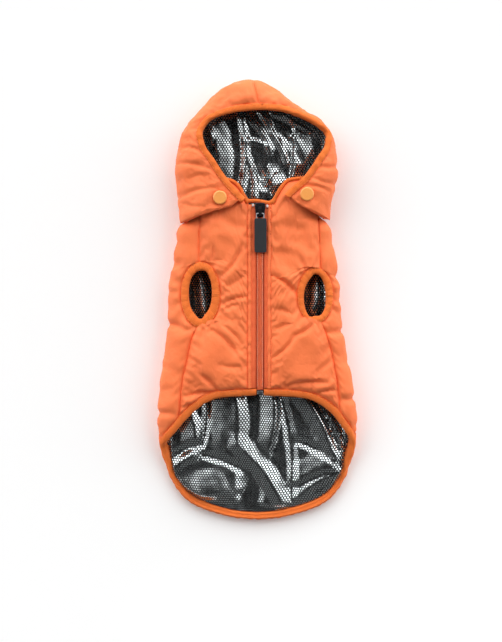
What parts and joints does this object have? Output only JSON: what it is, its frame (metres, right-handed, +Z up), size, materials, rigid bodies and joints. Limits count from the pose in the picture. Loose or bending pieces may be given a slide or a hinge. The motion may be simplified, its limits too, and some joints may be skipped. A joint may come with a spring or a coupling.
{
  "type": "dog winter coat",
  "caption": "Padded dog winter coat with a hood, laid flat on its back: zip along the belly, snap caps on the hood flaps, elastic-bound armholes and hem, and a silver-dotted lining.",
  "frame": {"origin": "centre of the coat's footprint, on the surface that it lies on", "axes": "+Y from the tail to the hood, +Z up through the belly, +X to the right when seen from above with the hood away from you"},
  "size_m": [0.1775, 0.3964, 0.0355],
  "materials": {
    "shell": "soft woven polyester with a slight sheen, puffed over wadding",
    "binding": "matt elastic binding",
    "lining": "black cloth printed with small bright metallic dots",
    "zip": "woven tape and nylon coil",
    "snap": "satin moulded cap",
    "metal": "grey metal wire and stop",
    "slider": "gloss black",
    "rubber": "moulded soft rubber",
    "stop": "pale moulded stop"
  },
  "bodies": {
    "coat": {"back_panel": "shell", "belly_left": "shell", "belly_right": "shell", "back_lining": "lining", "neck_binding": "binding", "hem_binding": "binding", "armhole_binding_left": "binding", "armhole_binding_right": "binding", "hood_left": "shell", "hood_right": "shell", "hood_lining": "lining", "hood_binding": "binding", "zip_tape_left": "zip", "zip_tape_right": "zip", "zip_coil": "zip", "zip_stop_top_left": "stop", "zip_stop_top_right": "stop", "zip_stop_bottom": "metal", "zip_slider": "slider", "snap_cap_left": "snap", "snap_cap_right": "snap"},
    "pull": {"pull_link": "metal", "pull_tab": "rubber"}
  },
  "joints": [
    {"name": "pull_hinge", "type": "hinge", "parent": "coat", "child": "pull", "pos_m": [0.0028, 0.0776, 0.02983], "axis": [-1, 0, 0], "range_deg": [0, 120]}
  ]
}
